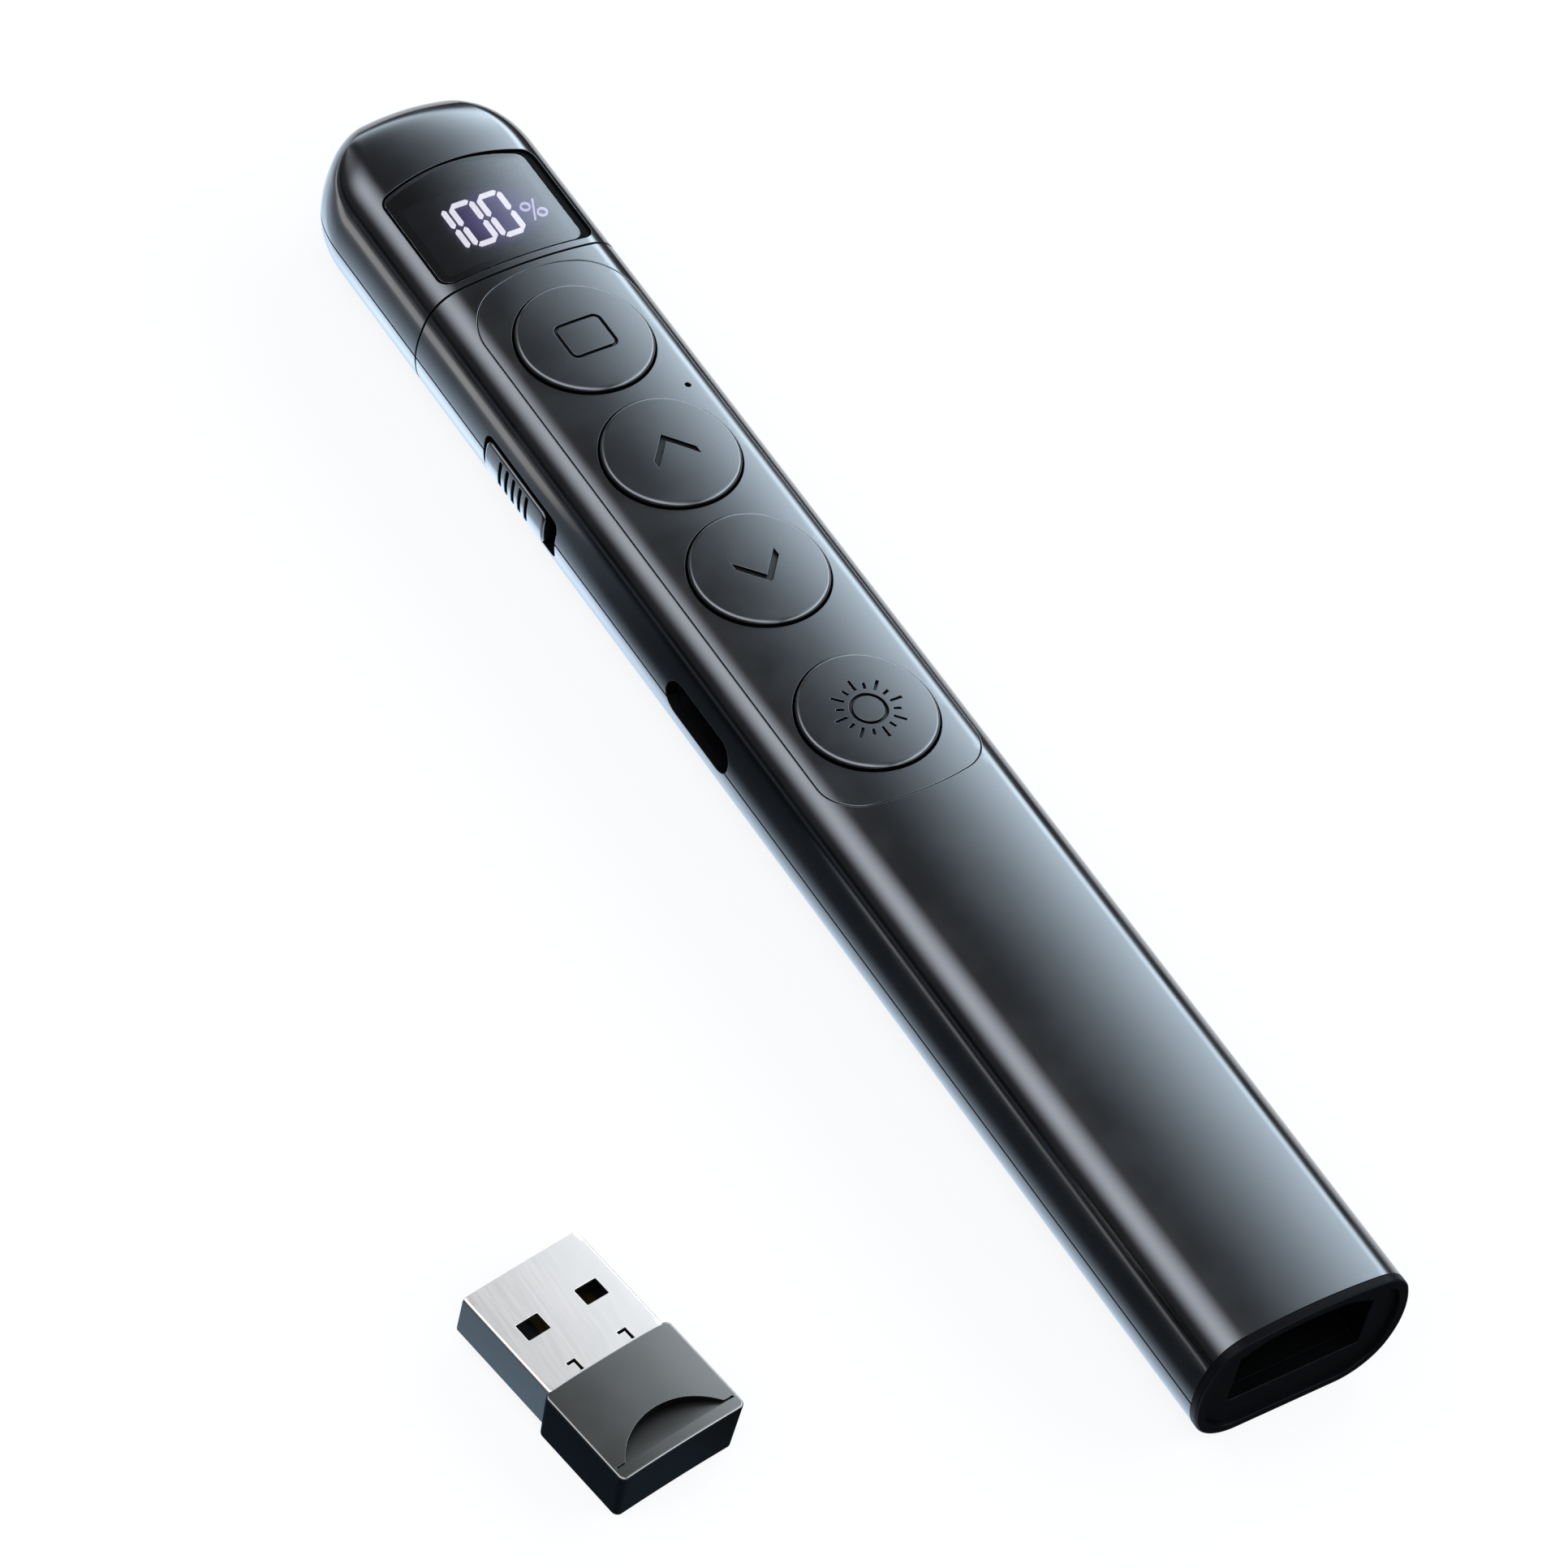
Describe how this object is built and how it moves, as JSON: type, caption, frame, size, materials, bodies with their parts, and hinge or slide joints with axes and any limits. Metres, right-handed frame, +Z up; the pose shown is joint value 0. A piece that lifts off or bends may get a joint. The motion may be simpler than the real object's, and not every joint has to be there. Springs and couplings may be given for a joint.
{
  "type": "wireless presentation clicker",
  "caption": "Slim presentation clicker with round keys, a small charge display, a side switch and socket, a laser in the nose, and its plug-in receiver lying beside it.",
  "frame": {"origin": "middle of the flat underside of the clicker, under the middle of its length", "axes": "+Y along the clicker to its nose, +Z up out of the key face, +X across to the right when the nose points away"},
  "size_m": [0.0686, 0.1474, 0.0142],
  "materials": {
    "graphite_shell": "metallic graphite lacquer, satin gloss",
    "keypad_graphite": "metallic graphite lacquer, satin",
    "key_graphite": "metallic graphite lacquer, bright turned edge",
    "white_plastic": "moulded",
    "smoked_window": "polished smoked acrylic",
    "black_trim": "fine moulded texture",
    "lit_segments": "translucent, lit from below",
    "circuit_board": "green solder mask",
    "amber_ribbon": "polyimide film",
    "zinc_steel": "zinc plated",
    "clear_pipe": "clear",
    "knob_black": "satin black",
    "socket_steel": "drawn stainless steel",
    "cell_foil": "laminated foil",
    "black_foam": "foam",
    "lead_jacket": "soft jacket",
    "brass": "turned",
    "dark_metal": "black anodised",
    "clear_lens": "polished",
    "cap_black": "satin black",
    "nickel": "nickel plated",
    "receiver_grey": "satin lacquer",
    "plug_steel": "drawn stainless steel",
    "insulator_black": "moulded",
    "gilt_contact": "gold plated"
  },
  "bodies": {
    "housing": {"body_upper_shell": "graphite_shell", "body_lower_shell": "graphite_shell", "nose_upper_shell": "graphite_shell", "nose_lower_shell": "graphite_shell", "tail_cap": "cap_black", "dock_magnet": "nickel", "keypad_panel": "keypad_graphite", "display_window": "smoked_window", "window_seal": "black_trim", "display_light_guide": "black_trim", "display_segments": "lit_segments", "display_board": "circuit_board", "display_flex": "amber_ribbon", "main_board": "circuit_board", "board_screws": "zinc_steel", "board_chips": "black_trim", "tact_switch_bodies": "black_trim", "tact_switch_covers": "zinc_steel", "status_light_pipe": "clear_pipe", "slide_switch_body": "zinc_steel", "usb_c_shell": "socket_steel", "usb_c_tongue": "black_trim", "battery_cell": "cell_foil", "battery_tape": "black_foam", "battery_leads": "lead_jacket", "laser_barrel": "brass", "laser_leads": "lead_jacket", "laser_bezel": "dark_metal", "laser_lens": "clear_lens"},
    "window_key": {"window_button": "key_graphite", "window_plunger": "white_plastic"},
    "page_up_key": {"page_up_button": "key_graphite", "page_up_plunger": "white_plastic"},
    "page_down_key": {"page_down_button": "key_graphite", "page_down_plunger": "white_plastic"},
    "laser_key": {"laser_button": "key_graphite", "laser_plunger": "white_plastic"},
    "power_slider": {"power_switch_knob": "knob_black", "switch_lever": "black_trim"},
    "receiver": {"receiver_grip": "receiver_grey", "receiver_plug_shell": "plug_steel", "receiver_insulator": "insulator_black", "receiver_contacts": "gilt_contact", "receiver_board": "circuit_board"}
  },
  "joints": [
    {"name": "window_press", "type": "slide", "parent": "housing", "child": "window_key", "axis": [0, 0, -1], "range_m": [0, 0.0004], "stiffness_N_per_m": 2500},
    {"name": "page_up_press", "type": "slide", "parent": "housing", "child": "page_up_key", "axis": [0, 0, -1], "range_m": [0, 0.0004], "stiffness_N_per_m": 2500},
    {"name": "page_down_press", "type": "slide", "parent": "housing", "child": "page_down_key", "axis": [0, 0, -1], "range_m": [0, 0.0004], "stiffness_N_per_m": 2500},
    {"name": "laser_press", "type": "slide", "parent": "housing", "child": "laser_key", "axis": [0, 0, -1], "range_m": [0, 0.0004], "stiffness_N_per_m": 2500},
    {"name": "power_slide", "type": "slide", "parent": "housing", "child": "power_slider", "axis": [0, -1, 0], "range_m": [0, 0.0015]},
    {"name": "receiver_slide", "type": "slide", "parent": "housing", "child": "receiver", "axis": [-0.1444, 0.9895, 0], "range_m": [0, 0.012]}
  ]
}
